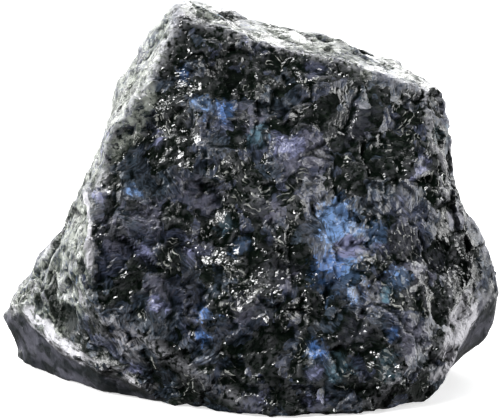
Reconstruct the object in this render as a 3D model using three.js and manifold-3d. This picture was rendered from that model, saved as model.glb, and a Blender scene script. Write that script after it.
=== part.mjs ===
// A hand-sized lump of rough larvikite, broken from the quarry and left unpolished.
// Millimetres, +Z up, -Y towards the big broken front face. The stone rests on z = 0, and the
// origin is under the middle of its bounding box.
//
// The stone is three fracture blocks grown together. Each block is the convex hull of a few
// corners, and is read as a radius in every direction from one point deep inside the stone.
// The joined radius places the points of a sphere mesh. Broken relief is then added, in flat
// chips of two sizes with a few named hollows and lumps, and the underside is cut off flat.

import * as THREE from "three";
import { ConvexHull } from "three/addons/math/ConvexHull.js";
import { mergeVertices } from "three/addons/utils/BufferGeometryUtils.js";
import Module from "manifold-3d";

// ---- Driving dimensions, mm ----

const HEART = [1, 2, 17]; // the point that every block contains, where each radius starts
const SPHERE_DETAIL = 21; // 20 * (21 + 1)^2 = 9680 triangles
const BED = -1.2; // the blocks reach this far under the ground, where the stone is cut flat

// Corners of the main block: a leaning front face, a narrow left face and a sloping top.
const BODY = [
  [-6.6, 9, 47.8], // back edge of the top face, from the summit to the right
  [8, 12, 41.2],
  [12.6, 11.5, 40.2],
  [19, 10, 39.4],
  [23.3, 7, 36.9],
  [24.6, 4, 35],
  [-9.4, 8, 46.6], // brow on the left of the summit
  [-10.4, 7.5, 43.4],
  [-9, -1.2, 46], // front edge of the top face, from left to right
  [-4.3, -1.6, 44.9],
  [0, -2, 43.2],
  [6.2, -2, 41.4],
  [18.8, -0.6, 38.8],
  [23, 0.2, 36.8],
  [-12.5, -3, 41.6], // left edge of the front face, downwards
  [-15.1, -5.6, 36.4],
  [-18, -7.6, 31],
  [-20, -9.8, 26],
  [-19.8, -13.4, 14.9],
  [-15.3, 7, 39.4], // far edge of the left face, downwards
  [-15.7, 7, 36.6],
  [-17.3, 6, 31.6],
  [-20.8, 4, 24.8],
  [0, -11, 26], // the slight swell halfway up the front
  [18.5, -7, 24],
  [-9.4, -9.4, BED], // foot of the front, from left to right
  [-2, -16.4, BED],
  [3, -18.8, BED],
  [9.5, -15.2, BED],
  [10.8, -17.6, 3.8], // lip over the undercut on the right of the foot
  [16.9, -16.9, 3.7],
  [21.2, -13.4, 4],
  [15.8, -14.6, BED],
  [21.4, -11, BED],
  [22.6, 0.7, BED],
  [25, -3, 28.7], // right side
  [26.3, 3, 31.4],
  [26.2, 2, 27],
  [-13, 17, 31], // back
  [8, 20.5, 31],
  [20, 17, 26],
  [-16, 19, 12],
  [4, 22, 11],
  [21, 18, 9],
  [-18, 15, BED],
  [2, 18, BED],
  [20, 14, BED],
];

// The low toe that runs out to the left.
const TOE = [
  [-20, -9.8, 26], // top of the ridge that it shares with the front face
  [-19.8, -13.4, 14.9],
  [-21.2, 4.5, 21.4], // far edge of its slope, downwards
  [-25, 8, 14.2],
  [-29.8, 11, 8.8],
  [-32.4, 11, 6.3],
  [-31.9, 10, 3.6],
  [-26.3, 0.8, 9], // near edge of its slope
  [-29.2, 7.8, 7.6], // rim over the undercut, from left to right
  [-26.4, 2.8, 6.5],
  [-24.4, -1.4, 4.9],
  [-20.3, -6.5, 3.9],
  [-16.4, -10.2, 3.6],
  [-12.4, -12.8, 2.9],
  [-29.4, 8.4, BED], // ground line
  [-24.2, 1.4, BED],
  [-18.9, -3.4, BED],
  [-9.8, -9.6, BED],
  [-22, 17, BED],
  [-27, 19, 6], // back
  [-15, 19, 19],
  [12, 12, BED], // inside the main block
  [12, -8, 22],
  [12, 12, 24],
];

// The bulge low on the right.
const BULGE = [
  [25.4, 0, 25], // outer edge, downwards
  [28.8, 2, 17.6],
  [30.4, 2, 14.6],
  [31.6, 4, 9.3],
  [30.2, 6, 5.9],
  [27.8, 7.5, 3.2],
  [23.8, 7.5, BED],
  [30.4, -2, 12], // near edge, which turns in towards the foot
  [26.5, -8.3, 9.9],
  [23.4, -11.1, 6.7],
  [22, -11, BED],
  [23, 0, BED],
  [28, 12, 15], // back
  [22, 17, 6],
  [-8, -10, 22], // inside the main block
  [-8, 12, 22],
  [-8, 12, BED],
  [-8, -8, BED],
];

const VALLEY_WIDTH = 1.5; // mm over which two blocks run into each other

// Relief broken into flat chips, coarse to fine: size of a chip and height of its relief, mm.
const CHIP_LAYERS = [
  { size: 11, height: 0.7, salt: 0 },
  { size: 5.6, height: 0.55, salt: 20 },
];
const CHIP_TILT = 1.6; // slope of a chip, as a share of the layer's height per chip size
const CHIP_STEP = 0.55; // offset of a whole chip, as a share of the layer's height
const CHIP_CRISPNESS = 26; // how sharply one chip gives way to the next
const SWELL = { size: 12, height: 0.6, salt: 90 }; // slow unevenness of the whole face

// Hollows (negative depth) and lumps (positive) that stand out from the rest.
const FEATURES = [
  { at: [-8.7, -16, 9.7], radius: [3.4, 4, 2.2], depth: -1.2 }, // flake scar
  { at: [-16, -11, 23.4], radius: [2.8, 3, 1], depth: -1 }, // groove under the left ledge
  { at: [-16, -10, 25.6], radius: [3.4, 3, 1.2], depth: 0.5 }, // left ledge
  { at: [-23.3, -5, 9], radius: [1.8, 3, 1.3], depth: -1 }, // pit at the toe
  { at: [-13, 7, 42], radius: [2.6, 7, 2.6], depth: -0.8 }, // dip in the left brow
  { at: [0.5, 11, 44.4], radius: [3, 6, 2.4], depth: -0.8 }, // dip beside the summit
  { at: [6, 10, 42.6], radius: [4, 7, 3], depth: -1 }, // dip along the top
  { at: [12.3, -1, 39.4], radius: [2.4, 4, 1.6], depth: -0.7 }, // dip before the right shoulder
  { at: [21.8, -8, 19.6], radius: [4, 4, 1.1], depth: 0.5 }, // lip on the right
  { at: [24.8, -7, 15.6], radius: [4, 4, 2.6], depth: -1 }, // hollow under the right lip
  { at: [24, -6, 2], radius: [3, 6, 3], depth: -1.1 }, // scoop at the right of the foot
  { at: [11, -17, 1.4], radius: [5, 4, 1.8], depth: -1.1 }, // scoop under the foot
];

const RELAX_ROUNDS = 120; // times that the points of the blocks are spread more evenly
const EASE = 0.7; // how far one round moves a point towards the average of its neighbours
const GROUND = { width: 200, depth: 50 }; // the slab that is cut away below z = 0

// ---- Repeatable randomness ----

// A number from 0 to 1 that depends only on a grid cell and a salt.
function hash(i, j, k, salt) {
  let h = Math.imul(i, 73856093) ^ Math.imul(j, 19349663) ^ Math.imul(k, 83492791);
  h = Math.imul(h ^ Math.imul(salt + 1, 2654435761), 2246822519);
  h = Math.imul(h ^ (h >>> 15), 3266489917);
  return ((h ^ (h >>> 16)) >>> 0) / 2 ** 32;
}

const OFFSETS = [-1, 0, 1];
const NEAR_CELLS = OFFSETS.flatMap((i) => OFFSETS.flatMap((j) => OFFSETS.map((k) => [i, j, k])));

// The 27 grid cells around a point in cell units, each with its own random seat.
function cellsAround(q, salt) {
  const middle = q.map(Math.floor);
  return NEAR_CELLS.map((step) => {
    const cell = middle.map((v, n) => v + step[n]);
    return { cell, seat: cell.map((v, n) => v + hash(...cell, salt + n)) };
  });
}

const dot = (a, b) => a.reduce((sum, v, n) => sum + v * b[n], 0);

// ---- Relief ----

// Height, from about -1 to 1, of a surface where each random cell is a small tilted plane.
function chipHeight(p, { size, salt }) {
  const q = p.map((v) => v / size);
  let total = 0;
  let weight = 0;
  for (const { cell, seat } of cellsAround(q, salt)) {
    const away = q.map((v, n) => v - seat[n]);
    const near = Math.exp(-CHIP_CRISPNESS * dot(away, away));
    const tilt = [3, 4, 5].map((n) => 2 * hash(...cell, salt + n) - 1);
    const step = 2 * hash(...cell, salt + 6) - 1;
    total += near * (CHIP_TILT * dot(away, tilt) + CHIP_STEP * step);
    weight += near;
  }
  return total / weight;
}

// Smooth noise from -1 to 1: random heights on a grid, eased between.
function swellHeight(p, { size, salt }) {
  const q = p.map((v) => v / size);
  const base = q.map(Math.floor);
  const ease = q.map((v, n) => THREE.MathUtils.smoothstep(v - base[n], 0, 1));
  let total = 0;
  for (const i of [0, 1])
    for (const j of [0, 1])
      for (const k of [0, 1]) {
        const share = [i, j, k].reduce((s, bit, n) => s * (bit ? ease[n] : 1 - ease[n]), 1);
        total += share * hash(base[0] + i, base[1] + j, base[2] + k, salt);
      }
  return 2 * total - 1;
}

// Height of one named hollow or lump at a point.
function featureHeight(p, { at, radius, depth }) {
  const away = p.map((v, n) => (v - at[n]) / radius[n]);
  return depth * Math.exp(-(dot(away, away) ** 2));
}

// Height of the whole relief at a point, mm.
function reliefHeight(p) {
  const swell = SWELL.height * swellHeight(p, SWELL);
  const chips = CHIP_LAYERS.map((layer) => layer.height * chipHeight(p, layer));
  const features = FEATURES.map((feature) => featureHeight(p, feature));
  return [swell, ...chips, ...features].reduce((sum, height) => sum + height);
}

// ---- The blocks ----

// The planes of a block's hull, each as an outward normal and its distance from the heart.
function planesOf(corners) {
  const points = corners.map((corner) => new THREE.Vector3(...corner));
  const hull = new ConvexHull().setFromPoints(points);
  const heart = new THREE.Vector3(...HEART);
  return hull.faces.map((face) => ({
    normal: face.normal.clone(),
    distance: face.constant - face.normal.dot(heart),
  }));
}

// How far one block reaches from the heart in a direction: to the nearest plane that faces it.
function blockRadius(planes, direction) {
  return 1 / Math.max(...planes.map(({ normal, distance }) => normal.dot(direction) / distance));
}

// The larger of two lengths, eased where they are nearly equal.
function softMax(a, b) {
  const h = Math.max(VALLEY_WIDTH - Math.abs(a - b), 0) / VALLEY_WIDTH;
  return Math.max(a, b) + (h * h * VALLEY_WIDTH) / 4;
}

const BLOCKS = [BODY, TOE, BULGE].map(planesOf);

// A point moved straight out from the heart, or in, until it lies on the joined blocks.
function ontoBlocks(point) {
  const direction = point.clone().normalize();
  const radius = BLOCKS.map((planes) => blockRadius(planes, direction)).reduce(softMax);
  return direction.multiplyScalar(radius);
}

// ---- The mesh ----

// A geometry as shared positions and triangles only.
function welded(geometry) {
  geometry.deleteAttribute("normal");
  geometry.deleteAttribute("uv");
  return mergeVertices(geometry);
}

// The points that share an edge with each point of a mesh.
function neighboursOf(mesh) {
  const index = mesh.index.array;
  const neighbours = Array.from({ length: mesh.getAttribute("position").count }, () => new Set());
  index.forEach((point, i) => {
    const first = i - (i % 3);
    const others = [0, 1, 2].map((n) => index[first + n]).filter((other) => other !== point);
    others.forEach((other) => neighbours[point].add(other));
  });
  return neighbours.map((set) => [...set]);
}

// Every point moved part of the way towards the average of its neighbours.
function eased(points, neighbours) {
  return points.map((point, i) => {
    const average = new THREE.Vector3();
    neighbours[i].forEach((j) => average.add(points[j]));
    average.divideScalar(neighbours[i].length);
    return point.clone().lerp(average, EASE);
  });
}

// The points of a sphere mesh spread evenly over the joined blocks, measured from the heart.
// The last round leaves them off the blocks, which takes the razor edge off the ridges.
function blockPoints(sphere) {
  const position = sphere.getAttribute("position");
  const neighbours = neighboursOf(sphere);
  const directions = Array.from({ length: position.count }, (_, i) =>
    new THREE.Vector3().fromBufferAttribute(position, i),
  );
  let points = directions.map(ontoBlocks);
  for (let round = 0; round < RELAX_ROUNDS; round++)
    points = eased(points, neighbours).map(ontoBlocks);
  return eased(points, neighbours);
}

// A point of the blocks raised by the relief, straight out from the heart.
function roughened(point) {
  const place = HEART.map((v, n) => v + point.getComponent(n));
  const growth = reliefHeight(place) / point.length();
  return place.map((v, n) => v + growth * point.getComponent(n));
}

// The whole stone, before the ground is cut away.
function uncutStone() {
  const sphere = welded(new THREE.IcosahedronGeometry(1, SPHERE_DETAIL));
  const positions = blockPoints(sphere).flatMap(roughened);
  sphere.setAttribute("position", new THREE.Float32BufferAttribute(positions, 3));
  return sphere;
}

// ---- The cut at the ground ----

const wasm = await Module();
wasm.setup();

// A welded three.js geometry as a solid that can be cut.
function solidOf(geometry) {
  const mesh = new wasm.Mesh({
    numProp: 3,
    vertProperties: Float32Array.from(geometry.getAttribute("position").array),
    triVerts: Uint32Array.from(geometry.index.array),
  });
  return new wasm.Manifold(mesh);
}

// A cut solid as a three.js geometry, moved over the origin.
function geometryOf(solid) {
  const { vertProperties, triVerts } = solid.getMesh();
  const geometry = new THREE.BufferGeometry();
  geometry.setAttribute("position", new THREE.BufferAttribute(vertProperties, 3));
  geometry.setIndex(new THREE.BufferAttribute(triVerts, 1));
  geometry.computeBoundingBox();
  const middle = geometry.boundingBox.getCenter(new THREE.Vector3());
  geometry.translate(-middle.x, -middle.y, 0);
  geometry.computeVertexNormals();
  return geometry;
}

const slab = welded(new THREE.BoxGeometry(GROUND.width, GROUND.width, GROUND.depth));
slab.translate(0, 0, -GROUND.depth / 2);

const roughStone = new THREE.MeshStandardMaterial({
  color: 0x3a3d45, // blue-black feldspar rock
  roughness: 0.5,
  metalness: 0,
});

const cutStone = solidOf(uncutStone()).subtract(solidOf(slab));
const stone = new THREE.Mesh(geometryOf(cutStone), roughStone);
stone.name = "stone";

const part = new THREE.Group();
part.add(stone);

export default part;
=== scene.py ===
# %% [markdown]
# # A raw larvikite stone
#
# The object is one rough lump of larvikite, a dark feldspar rock, about 64 mm wide. Quarry workers
# break it with wedges and hammers, so most of its faces are fresh breaks: big planes that meet in
# ridges, covered with small chips, steps and pits. Inside, the rock is a mosaic of crystals a few
# millimetres across. Grey feldspar flashes blue, and black augite and amphibole fill the gaps
# between.
#
# The lesson goes from large to small: the camera, the stone's form, its chips, then the crystals
# and their shine, and last the studio.

# %% Load the solid model
import math

import bpy
import numpy as np
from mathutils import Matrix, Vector


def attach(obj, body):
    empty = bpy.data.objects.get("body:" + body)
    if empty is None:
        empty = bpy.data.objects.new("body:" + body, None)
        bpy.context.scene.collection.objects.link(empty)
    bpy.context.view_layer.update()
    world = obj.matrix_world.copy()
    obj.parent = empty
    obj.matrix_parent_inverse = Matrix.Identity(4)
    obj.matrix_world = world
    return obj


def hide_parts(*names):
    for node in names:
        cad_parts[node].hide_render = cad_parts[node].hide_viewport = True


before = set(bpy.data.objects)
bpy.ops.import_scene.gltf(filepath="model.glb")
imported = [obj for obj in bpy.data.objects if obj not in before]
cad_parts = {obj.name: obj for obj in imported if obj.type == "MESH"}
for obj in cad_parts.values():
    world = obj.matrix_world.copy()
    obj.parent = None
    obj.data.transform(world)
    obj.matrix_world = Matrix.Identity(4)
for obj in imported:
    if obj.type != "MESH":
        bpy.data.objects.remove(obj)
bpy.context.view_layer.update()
MM = 0.001

# %% [markdown]
# ## The camera
#
# A small stone is best looked at through a long lens, a little from above, so that its far side is
# hardly smaller than its near side. The camera could be placed by trying views by hand. Here it is
# worked out from a target inside the stone, a height angle and a distance, so that the view can be
# repeated exactly.

# %% Camera
CAMERA_TARGET = Vector((0.26, -2.11, 21.8)) * MM
CAMERA_HEIGHT_ANGLE = math.radians(12)
CAMERA_DISTANCE = 400 * MM
LENS = 231.3  # mm, for a sensor 36 mm wide
NEAREST_SEEN = 10 * MM

camera_data = bpy.data.cameras.new("camera")
camera_data.lens = LENS
camera_data.clip_start = NEAREST_SEEN
camera = bpy.data.objects.new("camera", camera_data)
bpy.context.scene.collection.objects.link(camera)
towards_camera = Vector((0, -math.cos(CAMERA_HEIGHT_ANGLE), math.sin(CAMERA_HEIGHT_ANGLE)))
camera.location = CAMERA_TARGET + CAMERA_DISTANCE * towards_camera
camera.rotation_euler = towards_camera.to_track_quat("Z", "Y").to_euler()
bpy.context.scene.camera = camera
print("camera at, mm:", [round(v / MM, 1) for v in camera.location])

# %% [markdown]
# ## The form of the lump
#
# The solid model has the big faces and ridges in about 8000 flat triangles. Real stone has no such
# triangles, so they have to go before any detail is added. Subdividing would keep them visible as
# facets. A voxel remesh gives an even skin of small squares instead, and a few rounds of smoothing
# round off what is left of the triangles without losing the ridges.

# %% Copy the solid and give it an even skin
SKIN_CELL = 0.345 * MM  # edge of one square of the skin
SAME_POINT = 0.01 * MM  # corners of triangles closer than this become one


def linked(name, mesh):
    piece = bpy.data.objects.new(name, mesh)
    bpy.context.scene.collection.objects.link(piece)
    return piece


def applied(piece):
    """Turn a piece's modifiers into plain mesh."""
    evaluated = piece.evaluated_get(bpy.context.evaluated_depsgraph_get())
    mesh = bpy.data.meshes.new_from_object(evaluated)
    piece.modifiers.clear()
    piece.data = mesh
    return mesh


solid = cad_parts["stone"]
stone = linked("rough_stone", solid.data.copy())
stone.data.materials.clear()
weld = stone.modifiers.new("weld", "WELD")
weld.merge_threshold = SAME_POINT
remesh = stone.modifiers.new("skin", "REMESH")
remesh.mode = "VOXEL"
remesh.voxel_size = SKIN_CELL
skin = applied(stone)
print("skin:", len(skin.vertices), "points,", len(skin.polygons), "faces")

# %% Smooth away the triangles of the solid
SMOOTHING_ROUNDS = 5


def read(items, name, width, kind=float):
    """A value of all points or edges of a mesh as an array with one row for each."""
    values = np.empty(width * len(items), dtype=kind)
    items.foreach_get(name, values)
    return values.reshape(-1, width)


def normals_now():
    return read(skin.vertices, "normal", 3)


def set_points(points):
    skin.vertices.foreach_set("co", points.ravel())
    skin.update()


edges = read(skin.edges, "vertices", 2, np.int32)


def averaged(values):
    """The average of each point's neighbours, for any values that the points carry."""
    count = np.bincount(edges.ravel(), minlength=len(values))
    total = np.stack([
        np.bincount(edges[:, 0], weights=column[edges[:, 1]], minlength=len(values))
        + np.bincount(edges[:, 1], weights=column[edges[:, 0]], minlength=len(values))
        for column in values.T
    ], axis=1)
    return total / count[:, None]


def blurred(values, rounds):
    """In each round every value goes half way to the average of its neighbours."""
    columns = values.reshape(len(values), -1)
    for _ in range(rounds):
        columns = 0.5 * columns + 0.5 * averaged(columns)
    return columns.reshape(values.shape)


points = blurred(read(skin.vertices, "co", 3), SMOOTHING_ROUNDS)
print("smoothed", SMOOTHING_ROUNDS, "rounds")

# %% [markdown]
# ## Big faces and sharp ridges
#
# The lump broke along a few dozen big planes, and the smoothing has rounded the ridges where they
# meet. Each ridge could be marked by hand and creased. Here the points of the skin are sorted
# into faces: points that lie close together and look the same way belong to one face. Then each
# point moves towards the plane of its own face, but not past the planes of the faces next to it.
# So the faces turn flat, and the ridges between them turn sharp.

# %% Find the big faces of the break
FACE_COUNT = 52
NORMAL_PULL = 15.0  # mm of distance that a turn of one radian counts for
NORMAL_ROUNDS = 6  # smoothing of the normals, so that small bumps don't count
FACE_ROUNDS = 14
TINY = 1e-12  # keeps a vector without length from dividing by zero


def unit(vectors):
    return vectors / np.maximum(np.linalg.norm(vectors, axis=-1, keepdims=True), TINY)


def nearest_of(values, centres):
    """The number of the nearest centre for each row of values."""
    scores = (centres**2).sum(axis=1) - 2 * values @ centres.T
    return scores.argmin(axis=1)


set_points(points)
normals = normals_now()
for _ in range(NORMAL_ROUNDS):
    normals = unit(averaged(normals))
traits = np.concatenate([points / MM, NORMAL_PULL * normals], axis=1)
centres = traits[:1]
gap = np.full(len(traits), np.inf)
while len(centres) < FACE_COUNT:
    gap = np.minimum(gap, ((traits - centres[-1]) ** 2).sum(axis=1))
    centres = np.vstack([centres, traits[gap.argmax()]])
for _ in range(FACE_ROUNDS):
    face = nearest_of(traits, centres)
    count = np.bincount(face, minlength=FACE_COUNT)[:, None]
    sums = [np.bincount(face, weights=trait, minlength=FACE_COUNT) for trait in traits.T]
    centres = np.stack(sums, axis=1) / count
face = nearest_of(traits, centres)
print("big faces:", FACE_COUNT, "smallest", count.min(), "points, largest", count.max())

# %% Flatten them and sharpen the ridges between them
FLATNESS = 0.75  # share of the way to the plane that a point goes
MOST_MOVE = 1.3  # mm
LEAST_SLANT = 0.35  # keeps a step short where the skin runs almost at right angles to the plane
SOFTENING_ROUNDS = 2

middles, leans = centres[:, :3], unit(centres[:, 3:])
crossing = face[edges]
crossing = np.unique(np.sort(crossing[crossing[:, 0] != crossing[:, 1]], axis=1), axis=0)


def step_to(number, chosen):
    """How far the chosen points have to move along their normals to reach a face's plane, in mm."""
    above = ((points[chosen] / MM - middles[number]) * leans[number]).sum(axis=1)
    return -above / np.maximum((normals[chosen] * leans[number]).sum(axis=1), LEAST_SLANT)


move = np.zeros(len(points))
for own in range(FACE_COUNT):
    chosen = face == own
    move[chosen] = step_to(own, chosen)
for one, other in crossing:
    convex = ((middles[other] - middles[one]) * (leans[other] - leans[one])).sum() > 0
    limited = np.minimum if convex else np.maximum
    for own, neighbour in ((one, other), (other, one)):
        chosen = face == own
        move[chosen] = limited(move[chosen], step_to(neighbour, chosen))
move = FLATNESS * np.clip(move, -MOST_MOVE, MOST_MOVE)
points = blurred(points + normals * move[:, None] * MM, SOFTENING_ROUNDS)
points[:, 2] = np.maximum(points[:, 2], 0)
set_points(points)
print("moved by %.2f mm on average, at most %.2f mm" % (np.abs(move).mean(), np.abs(move).max()))

# %% [markdown]
# ## Crests, and pale bands of bruise and painted highlight
#
# A few ridges of the real stone stand out more than the rest: an upright one at the front left,
# where the front meets the left face, the rim over the hollow foot, and a band at the lower right.
# Blows and handling have bruised them white, and part of their white is painted highlight where
# the ridges and the facets beside them catch the light. Raising them in a sculpt would be quick,
# but could not be repeated. Here each crest is a path of a few points, with a height and a width in
# millimetres. The path is laid on the skin, the skin is lifted along it, and the mesh keeps how
# pale it is. Three of the paths have no height. They only mark where the stone is pale, as bruise
# and painted highlight.

# %% Paths of the crests
UPRIGHT = [
    (-19.3, -7.2, 26.0), (-19.2, -11.0, 24.3), (-19.1, -12.8, 21.5), (-19.0, -14.7, 18.5),
    (-18.8, -15.5, 15.6),
]
BELOW_UPRIGHT = [(-20.8, -12.4, 15.4), (-20.7, -13.0, 13.4), (-21.2, -11.4, 11.4)]
RIM = [
    (-28.4, 2.7, 8.3), (-26.2, -1.0, 7.2), (-23.4, -5.4, 5.3), (-19.4, -10.7, 4.5),
    (-15.7, -12.8, 3.6), (-11.9, -14.2, 2.3), (-8.8, -13.9, 1.0),
]
RIGHT_BAND = [
    (29.6, -5.0, 11.2), (27.6, -8.6, 9.8), (25.9, -10.4, 8.2), (24.8, -11.8, 5.8),
    (24.0, -12.2, 3.4), (23.6, -12.0, 1.4),
]
FOOT_OF_FRONT = [
    (-18.1, -15.9, 13.6), (-16.4, -16.1, 10.5), (-14.3, -14.9, 7.4), (-11.6, -15.5, 4.8),
]
# the pale band of a crest is partly bruise and partly painted highlight
CRESTS = [  # path, height and half width in mm, then how white its pale band is and how wide in mm
    (UPRIGHT, 0.60, 0.9, 3.4, 0.50),
    (RIM, 0.60, 1.7, 0.55, 2.0),
    (RIM[:4], 0.0, 1.7, 1.4, 2.0),
    (RIGHT_BAND, 0.35, 1.2, 2.6, 2.9),
    (FOOT_OF_FRONT, 0.0, 1.0, 0.55, 4.0),
    (BELOW_UPRIGHT, 0.0, 1.0, 1.1, 2.2),
]
spots = points / MM
print("crests:", len(CRESTS))

# %% Measure away from a path and along it


def on_skin(path):
    """The path in steps of about 1 mm, each laid on the nearest point of the skin."""
    path = np.array(path)
    laid = [path[0]]
    for start, end in zip(path[:-1], path[1:]):
        count = max(1, round(np.linalg.norm(end - start)))
        laid.extend(start + (end - start) * (n + 1) / count for n in range(count))
    return np.array([spots[((spots - spot) ** 2).sum(axis=1).argmin()] for spot in laid])


def path_place(path):
    """How far each point is from a path of straight pieces, and how far along it, in mm."""
    nearest = np.full(len(spots), np.inf)
    along = np.zeros(len(spots))
    passed = 0
    for start, end in zip(path[:-1], path[1:]):
        length = np.linalg.norm(end - start)
        part = np.clip(((spots - start) @ (end - start)) / length**2, 0, 1)
        gap = np.linalg.norm(spots - start - part[:, None] * (end - start), axis=1)
        along = np.where(gap < nearest, passed + part * length, along)
        nearest = np.minimum(nearest, gap)
        passed += length
    return nearest, along


print("the upright crest is %.1f mm long" % path_place(on_skin(UPRIGHT))[1].max())

# %% Lift the crests and mark the pale bands
BAND_FADE = 2.5  # mm over which a band fades out towards its ends
BESIDE, BESIDE_START = 1.3, 1.6  # no other worn edge shows within 0.8 mm, all do from 2.1 mm on
BAND_APART = 50  # mm that keep the streaks of one band from those of the next

pale = np.zeros(len(points))
beside = np.zeros(len(points))
lift = np.zeros(len(points))
band_place = np.zeros((len(points), 3))  # across, along, and which crest, for the streaks
nearest_crest = np.full(len(points), np.inf)
for number, (path, crest_height, half_width, whiteness, pale_width) in enumerate(CRESTS):
    away, along = path_place(on_skin(path))
    lift += crest_height * np.clip(1 - away / half_width, 0, 1)
    beside = np.maximum(beside, np.clip(BESIDE_START - away / BESIDE, 0, 1))
    fade = np.clip(np.minimum(along, along.max() - along) / BAND_FADE, 0, 1)
    pale = np.maximum(pale, np.clip(whiteness * (1 - away / pale_width), 0, 1) * fade)
    closer = away < nearest_crest
    nearest_crest[closer] = away[closer]
    which = np.full(len(points), BAND_APART * number)
    band_place[closer] = np.stack([away, along, which], axis=1)[closer]
print("highest crest %.2f mm, pale points: %d" % (lift.max(), (pale > 0).sum()))

# %% [markdown]
# ## Dents and lobes
#
# Here and there the stone bulges or sinks by up to a millimetre, and its old left face has a
# handful of pits where a crystal fell out. These are too small for the solid model and too few for
# a random pattern. Each is one line in a list: a place, a radius and a distance in or out.

# %% Push the skin in or out
JOINT_PITS = [  # place and radius in mm of the pits in the old face on the left
    ((-24.8, -4.8, 12.3), 2.0), ((-23.8, -5.6, 9.6), 2.1), ((-22.2, -8.2, 9.5), 2.1),
    ((-26.7, -1.3, 9.8), 1.3), ((-20.3, -14.0, 17.4), 1.2), ((-22.2, -8.8, 13.9), 0.9),
    ((-22.2, -8.6, 15.4), 0.8),
]
JOINT_PIT_DEPTH, JOINT_PIT_SLOPE = 0.5, 0.7  # mm deep, and mm by which its wall reaches further out
PUSHES = [  # place, radius and how far it is pushed out, in mm
    ((0.3, 0.5, 45.0), 5.0, -0.7),
    ((3.0, 5.6, 44.3), 3.5, -0.5),
    ((14.4, 7.2, 41.0), 3.5, -0.9),
    ((-16.0, 2.5, 35.8), 4.5, 0.8),
    ((-23.0, 0.9, 20.7), 2.5, -0.6),
    ((-30.8, 7.4, 2.6), 4.0, -0.8),
    ((26.0, -2.6, 23.9), 4.0, -0.5),
    ((32.0, 2.2, 11.5), 3.0, -0.6),
    ((28.8, 1.5, 5.8), 4.5, 1.0),
]
PUSHES += [(middle, radius + JOINT_PIT_SLOPE, -JOINT_PIT_DEPTH) for middle, radius in JOINT_PITS]
PUSH_FALL = 2  # at its radius a push has faded to exp(-2), about an eighth

for middle, radius, outwards in PUSHES:
    lift += outwards * np.exp(-PUSH_FALL * ((spots - middle) ** 2).sum(axis=1) / radius**2)
points = points + normals_now() * lift[:, None] * MM
points[:, 2] = np.maximum(points[:, 2], 0)
set_points(points)
print("crests and %d pushes: %.2f to %.2f mm" % (len(PUSHES), lift.min(), lift.max()))

# %% [markdown]
# ## Old joint faces and the smooth foot, with painted light and shade
#
# Not every face of the lump is a fresh break. The left side is an old joint, a natural crack along
# which water has dulled the crystals to a pale green-grey. Part of that pale is painted light: the
# left side and the top are made lighter where the walls and the sky light them. Below the rim the
# foot is hollow and almost smooth, and its dark grey is partly painted shade on the faces that look
# down. These areas could be painted by hand in texture paint. Here they follow from the big faces
# found above: a face that looks to the left or up is pale, and one that looks down is foot. Only at
# the front, where the eye follows the line between old and fresh, is that line given as a list.

# %% Mark the old joint faces and the foot
JOINT_LEAN = -0.70  # a big face whose normal has an x below this is an old joint face
JOINT_EDGE = np.array([  # z and x of the line where the old face ends, seen from the front
    (6.8, -22.8), (11.5, -20.2), (14.8, -18.8), (26.1, -19.2), (29.8, -16.0), (33.0, -13.1),
    (36.2, -11.1), (39.3, -11.5), (42.4, -9.8), (45.7, -9.2),
])
TOP_LEAN, TOP_LIGHT_SHARE = 0.80, 0.75  # painted light: the top gets the pale crust too, a little less of it
FOOT_LEAN = -0.33  # a big face near the ends whose normal has a z below this belongs to the foot
FOOT_REACH = 20  # mm from the middle of the stone
RIM_DROP, RIM_SOFTNESS = 0.7, 0.8  # mm below the rim where the foot starts, and how softly
UNDER_RIM_DEPTH = 8  # mm in y, as far back as the rim reaches
FACE_BLUR, JOINT_BLUR = 8, 2  # rounds that soften the outlines of the faces, then of the joint
FRONT_LEAN = -0.2  # a point whose normal has a y below this is at the front
EDGE_SOFTNESS = 1.2  # mm over which the old face ends

looks_left = (leans[:, 0] < JOINT_LEAN) & (leans[:, 2] > FOOT_LEAN)
# faces that look down get the foot's dark grey, partly painted shade
looks_down = (leans[:, 2] < FOOT_LEAN) & (np.abs(middles[:, 0]) > FOOT_REACH)
rim = np.array(RIM)
below_rim = np.interp(spots[:, 0], rim[:, 0], rim[:, 2]) - spots[:, 2]
under_rim = (spots[:, 0] < rim[-1, 0]) & (spots[:, 1] < UNDER_RIM_DEPTH)
foot = np.clip((below_rim - RIM_DROP) / RIM_SOFTNESS, 0, 1) * under_rim
foot = np.maximum(foot, blurred(looks_down[face].astype(float), FACE_BLUR))
looks_up = leans[:, 2] > TOP_LEAN
# pale crust, partly painted light: faces that look left get all of it, faces that look up most
joint = blurred(np.maximum(looks_left, TOP_LIGHT_SHARE * looks_up)[face], FACE_BLUR)
beyond_edge = np.interp(spots[:, 2], *JOINT_EDGE.T) - spots[:, 0]
at_the_front = (normals_now()[:, 1] < FRONT_LEAN) & (spots[:, 0] < 0)
joint = np.where(at_the_front, np.clip(beyond_edge / EDGE_SOFTNESS + 0.5, 0, 1), joint)
joint = blurred(joint, JOINT_BLUR) * (1 - foot)
old_faces = (looks_left | looks_up).sum()
print("old joint faces: %d, points on the foot: %d" % (old_faces, (foot > 0.5).sum()))

# %% [markdown]
# ## Random numbers that stay the same
#
# Broken stone is irregular everywhere, but the script has to make the same stone on each run.
# Blender has ready noise in its texture nodes and in `mathutils.noise`. The chips below need more
# than one random number for each cell and are worked out for every point at once, so they use a
# small table of random numbers that is looked up by cell.

# %% Repeatable random numbers for the cells of a grid
TABLE_SEED, TABLE_SIZE, NUMBERS_PER_CELL = 7, 4096, 8
RANDOM_TABLE = np.random.default_rng(TABLE_SEED).random((TABLE_SIZE, NUMBERS_PER_CELL))
CELL_FACTORS = np.array([73856093, 19349663, 83492791])
SALT_FACTOR, MIX_FACTOR = 2654435761, 2246822519  # large odd numbers send near cells to far rows
FIRST_SHIFT, LAST_SHIFT = 15, 7  # bits, so that the high bits count too
WAVE_LAYERS = 3


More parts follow.
